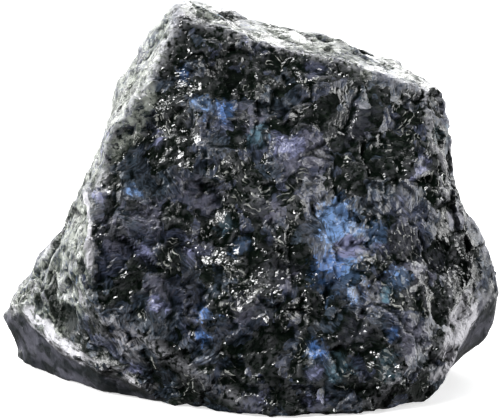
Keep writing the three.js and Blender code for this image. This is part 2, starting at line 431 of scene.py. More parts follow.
def cell_randoms(cells, salt):
    """Eight numbers from 0 to 1 for each grid cell. Another salt gives other numbers."""
    mixed = (cells.astype(np.int64) * CELL_FACTORS).sum(axis=1) ^ (salt * SALT_FACTOR)
    mixed = (mixed ^ (mixed >> FIRST_SHIFT)) * MIX_FACTOR
    return RANDOM_TABLE[(mixed >> LAST_SHIFT) % TABLE_SIZE]


def soft_noise(places, size, salt):
    """Smooth noise from -1 to 1 with bumps about as wide as the size."""
    scaled = places / size
    base = np.floor(scaled)
    part = scaled - base
    ease = part * part * (3 - 2 * part)
    total = np.zeros(len(places))
    for corner in np.ndindex(2, 2, 2):
        share = np.prod(np.where(corner, ease, 1 - ease), axis=1)
        total += share * cell_randoms(base + corner, salt)[:, 0]
    return 2 * total - 1


def layered_noise(places, size, salt):
    """A large wave with ever smaller ones on top."""
    return sum(soft_noise(places, size / 2**n, salt + n) / 2**n for n in range(WAVE_LAYERS))


print("random numbers in the table:", RANDOM_TABLE.size)

# %% [markdown]
# ## Chips, steps and pits
#
# A hammer breaks this rock from crystal to crystal. Each crystal leaves a small flat face with its
# own tilt, many crystals break in stairs along their cleavage, and some fall out and leave pits.
# A sculptor would carve these by hand. Here the skin is moved in and out by a height that is built
# up from cells: the nearest few cell centres each hold a tilted plane, and a sharp blend lets the
# nearest one win, which gives flat chips with crisp edges.

# %% Height of the chips
CELL_OFFSETS = np.array(list(np.ndindex(3, 3, 3))) - 1  # a cell and its 26 neighbours
CRISPNESS = 30  # how sharply one plane gives way to the next
TILT, STEP = 0.55, 0.12  # most slope along an axis, and most offset of a plane, in cells


def nearest_cells(places, size, salt):
    """For each point: the offset to its nearest cell centre, and that cell's random numbers."""
    scaled = places / size
    middle = np.floor(scaled)
    best = np.full(len(places), np.inf)
    away = np.zeros_like(places)
    randoms = np.zeros((len(places), NUMBERS_PER_CELL))
    for offset in CELL_OFFSETS:
        values = cell_randoms(middle + offset, salt)
        gap = scaled - (middle + offset + values[:, :3])
        distance = (gap**2).sum(axis=1)
        nearer = distance < best
        best[nearer] = distance[nearer]
        away[nearer] = gap[nearer]
        randoms[nearer] = values[nearer]
    return away * size, randoms


def chip_height(places, size, salt):
    """Tilted planes, one for each cell, blended sharply. Heights in the unit of the size."""
    scaled = places / size
    middle = np.floor(scaled)
    total = np.zeros(len(places))
    weight = np.zeros(len(places))
    for offset in CELL_OFFSETS:
        values = cell_randoms(middle + offset, salt)
        gap = scaled - (middle + offset + values[:, :3])
        near = np.exp(-CRISPNESS * (gap**2).sum(axis=1))
        plane = TILT * (gap * (2 * values[:, 3:6] - 1)).sum(axis=1)
        total += near * (plane + STEP * (2 * values[:, 6] - 1))
        weight += near
    return size * total / weight


print("cells looked at around each point:", len(CELL_OFFSETS))

# %% Height of the cleavage stairs and the pits
STAIR_GRAIN = 4.2  # mm, a crystal that breaks in stairs
STAIR_LENGTH = 1.25  # mm from one stair to the next
STAIR_RISE = 0.08  # mm
STAIR_SHARE = 0.45  # share of the crystals that break like this
PIT_SPACING = 3.1  # mm
PIT_SHARE = 0.16  # share of the cells that have a pit
PIT_DEPTH = 0.35  # depth of a pit as a share of its radius
PIT_RADIUS, PIT_SPREAD = 0.35, 0.7  # mm: the smallest radius, and how much larger the largest is
PIT_FLATNESS = 1.5  # above 1 its bottom is flat and its wall is steep


def stair_height(places):
    """A saw-tooth profile inside some crystals, each crystal with its own direction."""
    away, values = nearest_cells(places, STAIR_GRAIN, salt=41)
    direction = 2 * values[:, 3:6] - 1
    direction /= np.linalg.norm(direction, axis=1, keepdims=True)
    along = (away * direction).sum(axis=1) / STAIR_LENGTH
    stairs = STAIR_RISE * (along % 1 - 0.5)
    return np.where(values[:, 6] < STAIR_SHARE, stairs, 0)


def pit_height(places):
    """Small hollows of many sizes."""
    away, values = nearest_cells(places, PIT_SPACING, salt=53)
    radius = PIT_RADIUS + PIT_SPREAD * values[:, 4]
    sunk = np.exp(-((away**2).sum(axis=1) / radius**2) ** PIT_FLATNESS)
    return np.where(values[:, 5] < PIT_SHARE, -PIT_DEPTH * radius * sunk, 0)


deepest_pit = PIT_DEPTH * (PIT_RADIUS + PIT_SPREAD)
print("stairs %.2f mm high, pits up to %.2f mm deep" % (STAIR_RISE, deepest_pit))

# %% Break the skin
CHIP_SIZES = [  # mm across, strength
    (4.6, 0.19),
    (2.4, 0.18),
    (1.3, 0.15),
]
WARP_SIZE, WARP = 2.2, 0.5  # mm: width of the waves in which the cells' edges wander, and how far
FOOT_SMOOTHNESS = 0.65  # share of the relief that is missing on the foot

places = points / MM
waves = [layered_noise(places, WARP_SIZE, salt=60 + axis) for axis in range(3)]
wander = np.stack(waves, axis=1)
warped = places + WARP * wander
height = stair_height(warped) + pit_height(warped)
for layer, (size, strength) in enumerate(CHIP_SIZES):
    height += strength * chip_height(warped, size, salt=10 + layer)
height *= 1 - FOOT_SMOOTHNESS * foot
broken = points + normals_now() * height[:, None] * MM
broken[:, 2] = np.maximum(broken[:, 2], 0)
set_points(broken)
print("relief: %.2f to %.2f mm, spread %.2f" % (height.min(), height.max(), height.std()))

# %% [markdown]
# ## Worn ridges, and painted shade in the hollows
#
# Where planes meet, the sharp ridge is bruised by handling and turns pale, while the bottoms of
# hollows get painted shade: their colour is darkened where shade falls. A bevel or pointiness node
# could find the ridges, but pointiness depends on the mesh and is lost in an export. Here each
# point is compared with the average of its neighbours, once after the chips and once on a smoother
# copy that only knows the large ridges, and the result is stored on the mesh for the material to
# read. The ridges behind are worn in places only.

# %% Find the chips' edges, the hollows and the ridges
CHIP_EDGE = 0.022  # mm by which a point on a sharp small edge stands proud of its neighbours
RIDGE_EDGE = 0.012  # mm, the same for the large ridges after smoothing
RIDGE_ROUNDS = 14
CHIP_EDGE_BLUR, RIDGE_BLUR = 2, 3  # rounds
PIT_SPOT = (2.6, 1.9)  # dark to 0.84 of a pit's radius, and not at all from 1.4 of it


def stand_proud(positions):
    """How far each point stands out from the average of its neighbours, in mm."""
    return ((positions - averaged(positions)) * normals).sum(axis=1) / MM


def soft_spot(places, middle, radius, start, fall):
    """A round spot: start in its middle, less by fall at its radius, and cut off at 0 and 1."""
    away = np.linalg.norm(places - np.array(middle), axis=1) / radius
    return np.clip(start - fall * away, 0, 1)


normals = normals_now()
chip_edges = blurred(stand_proud(broken), CHIP_EDGE_BLUR)
ridges = blurred(stand_proud(blurred(points, RIDGE_ROUNDS)), RIDGE_BLUR)
# where shade is painted: the creases between the chips and the pits of the old face
hollow = np.clip(-chip_edges / CHIP_EDGE, 0, 1)
for middle, radius in JOINT_PITS:
    hollow = np.maximum(hollow, soft_spot(broken / MM, middle, radius, *PIT_SPOT))
print("sharpest chip %.3f mm, sharpest ridge %.3f mm" % (chip_edges.max(), ridges.max()))

# %% Store them on the mesh
WEAR_PATCH, WEAR_CONTRAST = 7.0, 1.6  # mm of ridge that is worn or not, and how sharply it changes
WEAR_BEHIND = 0.55  # share of the wear that is left in the worn patches behind
BEHIND_LEAN, BEHIND_BLUR = 0.5, 8  # y of a normal that is fully behind, and rounds that soften it
UNWORN_BASE, BASE_FADE = 0.4, 2.4  # mm above the ground without wear, and mm over which it sets in


def store(mesh, name, values):
    mesh.attributes.new(name, "FLOAT", "POINT").data.foreach_set("value", values.astype(np.float32))
    print("%s: %.0f%% of the points above a half" % (name, 100 * np.mean(values > 0.5)))


patchy = np.clip(0.5 + WEAR_CONTRAST * layered_noise(places, WEAR_PATCH, salt=90), 0, 1)
behind = blurred(np.clip(normals[:, 1] / BEHIND_LEAN, 0, 1), BEHIND_BLUR)
wear = (1 - behind + WEAR_BEHIND * behind * patchy) * (1 - beside)
above_ground = np.clip((points[:, 2] / MM - UNWORN_BASE) / BASE_FADE, 0, 1)
store(skin, "chip_edge", np.clip(chip_edges / CHIP_EDGE, 0, 1) * above_ground)
store(skin, "hollow", hollow)
store(skin, "ridge", np.clip(ridges / RIDGE_EDGE, 0, 1) * above_ground * wear)
store(skin, "pale", pale * above_ground)
store(skin, "joint", joint)
store(skin, "foot", foot)
places_in_bands = skin.attributes.new("band_place", "FLOAT_VECTOR", "POINT")
places_in_bands.data.foreach_set("vector", band_place.ravel())

# %% [markdown]
# ## Where the dark mineral crowds together
#
# Most dark clots are small, but on the front some are about 4 mm wide, and between them lie
# patches of plain feldspar. Noise alone puts them in the wrong places. Painting a mask by hand
# would work for one mesh only. Here a short list names their places, and the material later adds
# its noise, so that their outlines follow the crystals.

# %% Place the largest clots and the plain feldspar on the front
FRONT_NORMAL = -0.25  # a point whose normal has a y below this belongs to the front
WOBBLE = 0.9  # mm by which the outlines of all patches wander
CLOT_SPOT = (1.6, 1.0)  # full to 0.6 of a patch's radius, and nothing from 1.6 of it
FROM_FRONT, IN_SPACE = (0, 2), (0, 1, 2)  # marks on the front have an x and a z, all others y too
CLOTS = [  # x, z and radius in mm
    # the first three darken the front just under the top edge: partly dark mineral, partly painted
    # shade
    (-7.6, 43.8, 1.8), (-4.4, 44.6, 1.5), (-2.2, 42.4, 1.5),
    (-7.2, 40.6, 1.8), (-3.0, 38.8, 1.8), (0.6, 38.8, 1.4), (7.0, 39.8, 1.3), (10.8, 35.4, 2.2),
    (6.2, 34.5, 1.8), (12.2, 33.0, 1.8), (-7.6, 33.0, 1.5), (-10.7, 30.8, 1.2), (0.0, 27.6, 1.6),
    (5.4, 27.2, 1.4), (-17.0, 24.2, 1.3), (-8.6, 23.4, 1.4), (-3.4, 22.8, 1.8), (6.0, 24.0, 1.2),
    (-0.9, 18.8, 2.0), (3.4, 18.2, 1.8), (-13.6, 16.8, 1.8), (1.8, 15.0, 1.8), (6.3, 13.6, 1.8),
    (24.8, 18.4, 2.2), (27.2, 16.0, 2.0), (25.8, 13.6, 2.2), (20.2, 14.0, 1.6), (12.8, 9.8, 1.8),
    (15.2, 7.8, 1.8), (2.2, 7.8, 1.6), (16.4, 2.9, 2.2), (20.6, 2.2, 1.8), (-2.0, 3.2, 1.5),
]
GAPS = [  # the same for patches without dark mineral
    (1.6, 37.0, 1.4), (-4.0, 34.4, 1.6), (5.2, 30.6, 2.0), (-10.2, 27.2, 1.4), (-13.0, 21.8, 1.8),
    (-11.6, 14.8, 1.6), (-2.4, 10.8, 1.8), (0.4, 11.6, 1.5), (-5.2, 8.6, 1.6), (19.4, 22.6, 1.6),
    (21.4, 20.6, 1.6), (-15.4, 11.6, 1.6), (11.5, 20.0, 2.6),
]

facing_front = normals[:, 1] < FRONT_NORMAL
wobbly = places + WOBBLE * wander
clot = np.zeros(len(points))
for marks, amount in ((CLOTS, 1.0), (GAPS, -1.0)):
    for x, z, radius in marks:
        patch = soft_spot(wobbly[:, FROM_FRONT], (x, z), radius, *CLOT_SPOT)
        clot += amount * patch * facing_front
store(skin, "clot", np.clip(clot, -1, 1))

# %% [markdown]
# ## Where the feldspar flashes
#
# Thin layers inside the feldspar send back blue light, but only from crystals that happen to lie at
# the right angle, so the flashes are a few patches and not a tint of the whole stone. A shader that
# depends on the angle of view would be truer to the mineral and would be lost in an export. Here
# the flashes are painted into the colour as a sheen that is the same from every side. The patches
# are listed for the front, as x and z with a radius, and scattered by a seeded draw over the other
# sides.

# %% Place the flashes
BLUE, SKY, VIOLET, TEAL, MIST = range(5)
# colours of the painted sheen
FLASH_COLOURS = np.array([  # in the order of the names above
    (0.15, 0.33, 0.80),
    (0.31, 0.53, 0.98),
    (0.35, 0.37, 0.62),
    (0.16, 0.31, 0.41),
    (0.17, 0.17, 0.235),
])
FRONT_FLASHES = [  # x, z, radius in mm, colour
    (1.3, 42.4, 1.1, VIOLET), (8.2, 40.0, 1.1, VIOLET), (-8.5, 39.6, 0.7, BLUE),
    (-5.3, 36.3, 1.1, SKY), (-2.6, 35.9, 1.1, BLUE), (0.2, 34.8, 1.4, MIST),
    (1.1, 33.3, 1.3, TEAL), (5.2, 30.6, 1.5, VIOLET), (5.7, 28.9, 1.8, MIST),
    (8.0, 31.0, 1.8, MIST), (-11.4, 32.8, 0.7, VIOLET), (-13.3, 26.8, 0.6, SKY),
    (-17.8, 25.8, 0.8, VIOLET), (-5.8, 25.8, 1.8, MIST), (2.5, 24.5, 1.5, MIST),
    (-16.6, 21.6, 1.9, MIST), (-12.0, 23.7, 1.5, MIST), (-12.0, 19.4, 1.2, VIOLET),
    (-5.6, 19.7, 1.0, VIOLET), (-2.4, 22.2, 0.8, TEAL), (-0.6, 19.6, 0.6, SKY),
    (11.3, 22.1, 2.1, SKY), (15.4, 20.6, 1.5, SKY), (18.6, 20.4, 1.6, MIST),
    (12.4, 19.3, 1.3, VIOLET), (9.9, 17.1, 1.7, BLUE), (11.7, 15.9, 2.0, SKY),
    (16.4, 19.0, 1.1, VIOLET), (18.4, 15.6, 1.0, SKY), (17.3, 14.3, 0.7, TEAL),
    (21.1, 27.9, 0.8, VIOLET), (26.0, 21.6, 1.2, MIST), (21.2, 16.2, 2.0, MIST),
    (4.5, 16.7, 1.6, MIST), (-10.6, 15.4, 1.4, MIST), (-1.0, 12.9, 1.5, MIST),
    (-10.8, 12.8, 0.8, VIOLET), (-5.3, 12.1, 1.0, BLUE), (-6.0, 9.1, 0.8, BLUE),
    (-14.0, 4.9, 0.6, VIOLET), (8.5, 7.5, 1.1, BLUE), (7.8, 4.9, 0.7, VIOLET),
    (10.6, 5.4, 1.1, TEAL), (17.4, 9.4, 0.7, BLUE), (20.2, 8.2, 1.7, MIST),
    (13.2, 9.8, 1.5, MIST), (1.2, 1.8, 1.1, VIOLET), (8.3, 1.7, 0.8, VIOLET),
    (16.6, 5.7, 1.1, TEAL), (23.7, 31.0, 0.9, TEAL), (13.4, 33.4, 1.5, MIST),
]
FLASH_SPOT = (1.5, 0.8)  # full to 0.6 of a flash's radius, and nothing from 1.9 of it
OTHER_FLASHES, OTHER_FLASH_RADII = 46, (0.6, 1.5)  # on the sides, the back and the top, in mm
LOWEST_MARK = 2  # mm above the ground
MARKS_SEED = 23

draw = np.random.default_rng(MARKS_SEED)
others = np.flatnonzero(~facing_front & (points[:, 2] > LOWEST_MARK * MM))
flash = np.zeros((len(points), 4))
flash[:, 3] = 1
weight = np.zeros(len(points))
marks = [
    ((x, z), FROM_FRONT, radius, colour, facing_front) for x, z, radius, colour in FRONT_FLASHES
]
for middle in draw.choice(others, OTHER_FLASHES, replace=False):
    radius = draw.uniform(*OTHER_FLASH_RADII)
    colour = draw.integers(len(FLASH_COLOURS))
    marks.append((places[middle], IN_SPACE, radius, colour, ~facing_front))
for middle, axes, radius, colour, allowed in marks:
    share = soft_spot(wobbly[:, axes], middle, radius, *FLASH_SPOT) * allowed
    stronger = share > weight
    weight[stronger] = share[stronger]
    flash[stronger, :3] = FLASH_COLOURS[colour]
store(skin, "flash_share", weight)
flash_colours = skin.color_attributes.new("flash_colour", "FLOAT_COLOR", "POINT")
flash_colours.data.foreach_set("color", flash.ravel())
print("flashes:", len(marks))

# %% [markdown]
# ## Combs of cleavage, with painted glints
#
# Augite and amphibole break along two cleavages into combs: rows of thin edges with dark gaps,
# which glint in the light. Most dark clots have a few of them, and some are full of them. Modelling
# each edge would take millions of faces. The combs themselves are drawn by the material as painted
# glints, and here the skin only stores where they crowd together: listed on the front, and by a
# seeded draw elsewhere.

# %% Place the combs
FRONT_COMBS = [  # x, z, radius in mm
    (23.6, 26.2, 2.3), (25.0, 23.2, 1.3), (19.0, 20.4, 1.7), (20.6, 18.0, 1.1), (-8.9, 19.4, 1.5),
    (-7.0, 3.2, 1.9), (-2.6, 4.6, 1.2), (-6.3, 46.5, 1.2), (-5.4, 36.4, 1.0), (-10.4, 34.6, 1.3),
    (-13.2, 32.8, 1.4), (7.6, 38.2, 1.2), (3.2, 41.0, 1.0), (10.0, 41.4, 0.9), (19.7, 33.6, 1.2),
    (18.6, 13.4, 1.1), (11.6, 4.4, 1.2), (6.8, 8.4, 1.0), (2.6, 1.6, 1.2), (-12.6, 12.2, 1.0),
    (-0.4, 27.6, 1.1), (11.8, 29.0, 1.0), (-2.4, 12.8, 1.0), (4.0, 20.2, 0.9), (22.0, 12.4, 1.0),
    (-15.6, 27.2, 0.8), (-11.6, 5.2, 0.9),
]
COMB_SPOT = (2.2, 1.8)  # full to 0.7 of a comb's radius, and nothing from 1.2 of it
OTHER_COMBS, OTHER_COMB_RADII = 60, (0.7, 1.8)  # mm

comb = np.zeros(len(points))
marks = [((x, z), FROM_FRONT, radius, facing_front) for x, z, radius in FRONT_COMBS]
for middle in draw.choice(others, OTHER_COMBS, replace=False):
    marks.append((places[middle], IN_SPACE, draw.uniform(*OTHER_COMB_RADII), ~facing_front))
for middle, axes, radius, allowed in marks:
    comb = np.maximum(comb, soft_spot(wobbly[:, axes], middle, radius, *COMB_SPOT) * allowed)
store(skin, "comb", comb)
print("combs:", len(marks))

# %% [markdown]
# ## A helper for materials
#
# A Blender material is a small program: every node takes values in and gives one out. Nodes can be
# wired by hand in the shader editor. In a script each node needs three or four lines, so a short
# helper makes a node, fills its inputs with numbers or with other nodes' outputs, and hands its
# output on. The recipes below then read almost like sums.

# %% Write a material as a recipe
NUMBER, COLOUR = 0, 1  # the two outputs of a noise
SHARE_IN, FIRST_IN, SECOND_IN, MIXED_OUT = 0, 6, 7, 2  # the sockets of a mix of colours


class Recipe:
    """The nodes of a material or of the sky. Each method adds a node and gives back its output."""

    def __init__(self, owner):
        owner.use_nodes = True
        self.nodes = owner.node_tree.nodes
        self.links = owner.node_tree.links
        self.nodes.clear()

    def node(self, kind, inputs, output=0, **settings):
        made = self.nodes.new("ShaderNode" + kind)
        for name, value in settings.items():
            setattr(made, name, value)
        for name, value in inputs.items():
            if isinstance(value, bpy.types.NodeSocket):
                self.links.new(value, made.inputs[name])
            else:
                made.inputs[name].default_value = value
        return made.outputs[output] if output is not None else made

    def maths(self, operation, *values):
        return self.node("Math", dict(enumerate(values)), operation=operation)

    def times(self, *values):
        return self.maths("MULTIPLY", *values)

    def times_plus(self, *values):
        """The first value times the second, plus the third."""
        return self.maths("MULTIPLY_ADD", *values)

    def vector(self, operation, *values):
        return self.node("VectorMath", dict(enumerate(values)), operation=operation)

    def scaled(self, vector, amount):
        return self.node("VectorMath", {0: vector, "Scale": amount}, operation="SCALE")

    def between(self, value, low=0.0, high=1.0, start=0.0, end=1.0):
        """A smooth step from start to end while the value goes from low to high."""
        limits = {"Value": value, "From Min": low, "From Max": high, "To Min": start, "To Max": end}
        return self.node("MapRange", limits, interpolation_type="SMOOTHSTEP")

    def mixed(self, share, first, second):
        """A colour between two colours."""
        inputs = {SHARE_IN: share}
        for number, colour in ((FIRST_IN, first), (SECOND_IN, second)):
            inputs[number] = (*colour, 1) if isinstance(colour, tuple) else colour
        return self.node("Mix", inputs, MIXED_OUT, data_type="RGBA")

    def noise(self, vector, size=1.0, detail=2.0, rough=0.5, output=NUMBER):
        """Cloudy noise with lumps about as wide as the size, in mm."""
        inputs = {"Vector": vector, "Scale": 1 / size, "Detail": detail, "Roughness": rough}
        return self.node("TexNoise", inputs, output)

    def attribute(self, name, output="Fac"):
        return self.node("Attribute", {}, output, attribute_name=name)


print("steps of a recipe:", ", ".join(name for name in vars(Recipe) if not name.startswith("_")))

# %% [markdown]
# ## Crystals
#
# The stone is a mosaic of interlocking crystals 2 to 4 mm wide. Each has its own lattice direction,
# and the fine cleavage lines, fibres and splinters inside it all follow that direction. A single
# noise over the whole stone would look like dirt. Here wandering cells stand for the crystals, and
# each cell's random colour turns the coordinates inside it. Stretched noise and stretched cells in
# those turned coordinates then change direction from crystal to crystal. A break follows the
# fibres, so they lie in the broken face: they turn freely in the plane of the front and lean only a
# little out of it.

# %% Crystals, each with its own direction
CRYSTAL_SIZE = 2.9  # mm
DRIFT_SIZE, FINE_DRIFT_SIZE = 2.1, 0.9  # mm, width of the waves in which outlines and lines bend
CRYSTAL_WANDER = 3.2  # mm by which the crystals' outlines wander
BEND, FINE_BEND = 1.1, 0.35  # mm by which the lines inside a crystal bend
HALVES = (0.5, 0.5, 0.5)  # the middle of a random colour
MOST_LEAN = 0.55  # radians by which a crystal's fibres may lean out of the plane of the front

stone.data.materials.append(bpy.data.materials.new("larvikite"))
rock = Recipe(stone.data.materials[0])
place = rock.scaled(rock.node("TexCoord", {}, "Object"), 1 / MM)  # in mm
drift = rock.noise(place, DRIFT_SIZE, output=COLOUR)
drift = rock.vector("SUBTRACT", drift, HALVES)
fine_drift = rock.noise(place, FINE_DRIFT_SIZE, detail=1.0, output=COLOUR)
fine_drift = rock.vector("SUBTRACT", fine_drift, HALVES)
wandering = rock.vector("ADD", place, rock.scaled(drift, CRYSTAL_WANDER))
crystal = rock.node("TexVoronoi", {"Vector": wandering, "Scale": 1 / CRYSTAL_SIZE}, None)
own_random = crystal.outputs["Color"]
split_random = rock.node("SeparateXYZ", {"Vector": own_random}, None).outputs
inside = rock.vector("SUBTRACT", place, crystal.outputs["Position"])
bent = rock.vector("ADD", rock.scaled(drift, BEND), rock.scaled(fine_drift, FINE_BEND))
inside = rock.vector("ADD", inside, bent)
own_offset = rock.vector("SUBTRACT", own_random, HALVES)
turn_range = (2 * MOST_LEAN, 2 * math.pi, 2 * MOST_LEAN)
own_turn = rock.vector("MULTIPLY", own_offset, turn_range)
turned = rock.node(
    "VectorRotate", {"Vector": inside, "Rotation": own_turn}, rotation_type="EULER_XYZ"
)
print("nodes so far:", len(rock.nodes))

# %% Lines, fibres and splinters inside the crystals
LINE = (2.2, 0.28)  # length and width in mm
FIBRE = (2.8, 0.23)
SPLINTER = (3.0, 0.32)


def stretched(length, width):
    """The place inside a crystal, stretched so that one unit is one length by one width."""
    return rock.vector("MULTIPLY", turned, (1 / length, 1 / width, 1 / width))


def strands(length, width):
    """Noise with lumps of one length by one width, which follow the crystal."""
    return rock.noise(stretched(length, width), detail=1.0)


lines = strands(*LINE)
fibres = strands(*FIBRE)
splinter = rock.node("TexVoronoi", {"Vector": stretched(*SPLINTER), "Scale": 1.0}, None)
splinter_random = rock.node("SeparateXYZ", {"Vector": splinter.outputs["Color"]}, None).outputs
print("nodes so far:", len(rock.nodes))

# %% [markdown]
# ## Two minerals
#
# Feldspar, blue-grey to violet-grey, makes up most of the stone, and greenish black augite and
# amphibole sit in clots between its crystals. Painting a mask would fit one side only. A noise a
# little coarser than the crystals, pushed up or down by each crystal's random number, gives clots
# whose outlines follow the crystals on every side. The stored mask of large clots pushes the same
# noise.

# %% Where the dark mineral is
CLOT_SIZE = 4.6  # mm
DARK_SHARE, DARK_EDGE = 0.49, 0.015  # a higher share gives more of the dark mineral
CRYSTAL_PUSH, CLOT_PUSH = 0.26, 0.20

clots = rock.noise(place, CLOT_SIZE, detail=3.0, rough=0.55)
clots = rock.maths("SUBTRACT", clots, CRYSTAL_PUSH / 2)
clots = rock.times_plus(split_random[0], CRYSTAL_PUSH, clots)
clots = rock.times_plus(rock.attribute("clot"), -CLOT_PUSH, clots)
dark = rock.between(clots, DARK_SHARE - DARK_EDGE, DARK_SHARE + DARK_EDGE, 1.0, 0.0)
comb_place = rock.attribute("comb")
dark = rock.maths("MAXIMUM", dark, comb_place)
print("nodes so far:", len(rock.nodes))

# %% Colour of the feldspar
FELDSPAR_DEEP, FELDSPAR_GREY = (0.009, 0.014, 0.021), (0.070, 0.090, 0.130)
FELDSPAR_PALE = (0.35, 0.38, 0.48)
TEAL_CAST, VIOLET_CAST = (0.90, 1.02, 0.98), (1.00, 0.96, 1.15)
CAST_SIZE = 6.0  # mm
CLOUD_SIZE = 1.5  # mm
CLOUD_PART, SPLINTER_PART, FIBRE_PART = 0.42, 0.18, 1.05  # what each adds to the shade
SHADE_OFFSET = -0.325
FELDSPAR_SHADES = (0.38, 0.66)  # the shades at which the feldspar is deepest and greyest
VEIN_LINES = (0.52, 0.78)  # how strong a line is where a pale vein begins and is full
BRIGHT_CRYSTALS = (0.30, 1.0)  # random numbers of the crystals whose veins grow brighter
DULL_VEIN, BRIGHT_VEIN = 0.06, 0.62  # white in any vein, and more of it in a bright crystal
CAST_EDGE = (0.38, 0.62)  # noise from all teal to all violet

cloud = rock.times(rock.noise(wandering, CLOUD_SIZE, rough=0.55), CLOUD_PART)
shade = rock.times_plus(splinter_random[0], SPLINTER_PART, cloud)
shade = rock.maths("ADD", shade, SHADE_OFFSET)
shade = rock.times_plus(fibres, FIBRE_PART, shade)
greyness = rock.between(shade, *FELDSPAR_SHADES)
feldspar = rock.mixed(greyness, FELDSPAR_DEEP, FELDSPAR_GREY)
vein = rock.between(lines, *VEIN_LINES)
bright_crystal = rock.between(split_random[1], *BRIGHT_CRYSTALS)
vein_white = rock.times_plus(bright_crystal, BRIGHT_VEIN, DULL_VEIN)
feldspar = rock.mixed(rock.times(vein, vein_white), feldspar, FELDSPAR_PALE)
cast_share = rock.between(rock.noise(place, CAST_SIZE, detail=1.0), *CAST_EDGE)
cast = rock.mixed(cast_share, TEAL_CAST, VIOLET_CAST)
feldspar = rock.vector("MULTIPLY", feldspar, cast)
print("nodes so far:", len(rock.nodes))

# %% Colour of the augite
AUGITE, AUGITE_GREEN = (0.003, 0.006, 0.004), (0.013, 0.021, 0.014)
AUGITE_SHADES = (0.45, 0.70)  # the shades at which it is black and greenest

augite = rock.mixed(rock.between(shade, *AUGITE_SHADES), AUGITE, AUGITE_GREEN)
minerals = rock.mixed(dark, feldspar, augite)
print("nodes so far:", len(rock.nodes))

# %% [markdown]
# ## Painted glints in the dark mineral
#
# A comb of cleavage is a row of thin curved edges that catch the light, and here their glints are
# painted into the colour as pale strokes. Straight stripes would look like a ladder. A wave across
# each crystal gives the row, a strong noise in its phase curls the edges, and a second noise cuts
# them to short runs. The combs stand on the places that the skin has stored, and weaker ones on a
# few other dark crystals.

# %% Draw the combs as painted glints
STROKE_SPACING = 0.75  # mm from one edge to the next where nothing bends them
RUN = (2.4, 0.9)  # mm, how long the edges run and how wide a row of them is
RUN_EDGE = (0.45, 0.53)  # noise from no edge to a full edge
CURL, CURL_BEND = (1.7, 0.9), 15.0  # mm, and radians
LINE_PUSH = 1.8  # how much the lines of the crystal break up the wave
CREST_OF_WAVE = (0.65, 1.0)  # heights of the wave where an edge begins and is full
PAINTED_GLINT_COLOUR = (0.80, 0.82, 0.76)
COMB_SHARE, COMB_FADE = 0.86, 0.1  # a lower share gives more crystals with combs
WEAK_COMB = 0.55  # strength of the combs that the skin has not stored

across = rock.node("SeparateXYZ", {"Vector": turned}, "Z")
phase = rock.times(across, 2 * math.pi / STROKE_SPACING)
wave = rock.maths("SINE", rock.times_plus(strands(*CURL), CURL_BEND, phase))
uneven = rock.maths("SUBTRACT", wave, LINE_PUSH / 2)
uneven = rock.times_plus(lines, LINE_PUSH, uneven)
runs = rock.between(strands(*RUN), *RUN_EDGE)
comb_lines = rock.times(rock.between(uneven, *CREST_OF_WAVE), runs)
combed = rock.between(split_random[2], COMB_SHARE, COMB_SHARE + COMB_FADE, 0.0, WEAK_COMB)
combed = rock.times(rock.maths("MAXIMUM", combed, comb_place), dark)
painted_glint_strokes = rock.times(combed, comb_lines)
# painted glints: pale strokes laid into the colour of the dark mineral
minerals = rock.mixed(painted_glint_strokes, minerals, PAINTED_GLINT_COLOUR)
print("nodes so far:", len(rock.nodes))

# %% [markdown]
# ## The flashes
#
# A flash is broken up by the cleavage lines and the splinters of its crystal, with a faint halo
# around a bright core. A soft round spot would look like spilt ink. The lines and splinters push
# the stored share up and down before a narrow step makes the core, so it gets a ragged outline.
# Over the dark mineral the flash is weak. Last, painted shade darkens the deep hollows between
# the chips.

# %% Lay the flashes over the minerals
HALO_STRENGTH, CORE_STRENGTH = 0.28, 0.95
CORE_EDGE = (0.35, 1.05)  # share of a flash where its core begins and is full
FLASH_GRAIN = 0.7  # mm
LINE_SWAY, GRAIN_SWAY, SPLINTER_SWAY = 1.6, 1.4, 0.8  # how far each moves a core's outline
FLASH_ON_DARK = 0.25  # share of a flash that is left on the dark mineral

flash_noise = rock.noise(turned, FLASH_GRAIN, rough=0.6)
flash_noise = rock.maths("SUBTRACT", flash_noise, 0.5)
flash_place = rock.attribute("flash_share")
halo = rock.maths("ADD", flash_noise, flash_place)
halo = rock.between(halo, end=HALO_STRENGTH)
line_push = rock.maths("SUBTRACT", lines, 0.5)
core = rock.times_plus(line_push, LINE_SWAY, flash_place)
core = rock.times_plus(flash_noise, GRAIN_SWAY, core)
splinter_push = rock.maths("SUBTRACT", splinter_random[1], 0.5)
core = rock.times_plus(splinter_push, SPLINTER_SWAY, core)
core = rock.between(core, *CORE_EDGE, end=CORE_STRENGTH)
light_share = rock.between(dark, start=1.0, end=FLASH_ON_DARK)
flash_share = rock.times(rock.maths("MAXIMUM", halo, core), light_share)
flash_colour = rock.attribute("flash_colour", "Color")
# painted sheen: the flash colours are laid into the base colour
minerals = rock.mixed(flash_share, minerals, flash_colour)
print("nodes so far:", len(rock.nodes))

# %% Paint shade into the hollows
HOLLOW_SHADE_STRENGTH = 0.90

hollow_place = rock.attribute("hollow")
painted_hollow_shade = rock.times(hollow_place, HOLLOW_SHADE_STRENGTH)
# painted shade: the colour of the hollows goes towards black
minerals = rock.mixed(painted_hollow_shade, minerals, AUGITE)
print("nodes so far:", len(rock.nodes))

# %% [markdown]
# ## The dulled joint faces and the slate-smooth foot, with painted light and shade
#
# Water has left a thin pale crust on the old joint faces, and part of its pale is painted light on
# the left side and the top. It is missing in spots, where the dark mineral shows through, in
# hatching along the cleavage, and in the pits, where the painted shade of the hollows shows. The
# foot is covered by a dark, almost even slate grey with faint layers, which is partly painted shade
# on the faces that look down. Both could be materials of their own, but a hard line would show
# where they meet the fresh stone. Here both are layers that lie over the minerals, as far as the
# masks on the mesh let them.

